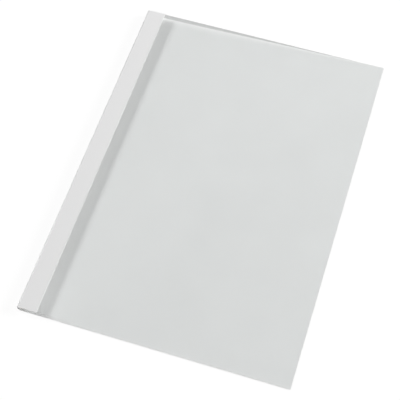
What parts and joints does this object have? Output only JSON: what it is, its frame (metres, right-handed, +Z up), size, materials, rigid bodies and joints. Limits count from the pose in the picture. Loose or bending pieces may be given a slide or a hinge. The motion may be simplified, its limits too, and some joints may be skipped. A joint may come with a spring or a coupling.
{
  "type": "thermal binding cover",
  "caption": "Empty A4 thermal binding cover: folded gloss card back, spine and lap with a draped clear film front and a hot-melt strip inside the spine.",
  "frame": {"origin": "middle of the closed cover's footprint on the table", "axes": "+X from the spine to the fore edge, +Y along the spine, +Z up through the front film"},
  "size_m": [0.213, 0.297, 0.0063],
  "materials": {
    "gloss_card": "white gloss-coated card",
    "clear_film": "clear glossy film",
    "hot_melt_glue": "cream satin hot-melt adhesive"
  },
  "bodies": {
    "spine": {"spine_card": "gloss_card", "glue_strip": "hot_melt_glue"},
    "front": {"front_lap": "gloss_card", "front_film": "clear_film"},
    "back": {"back_cover": "gloss_card"}
  },
  "joints": [
    {"name": "front_hinge", "type": "hinge", "parent": "spine", "child": "front", "pos_m": [-0.1055, 0, 0.0063], "axis": [0, -1, 0], "range_deg": [0, 180]},
    {"name": "back_hinge", "type": "hinge", "parent": "spine", "child": "back", "pos_m": [-0.1055, 0, 0], "axis": [0, 1, 0], "range_deg": [0, 180]}
  ]
}
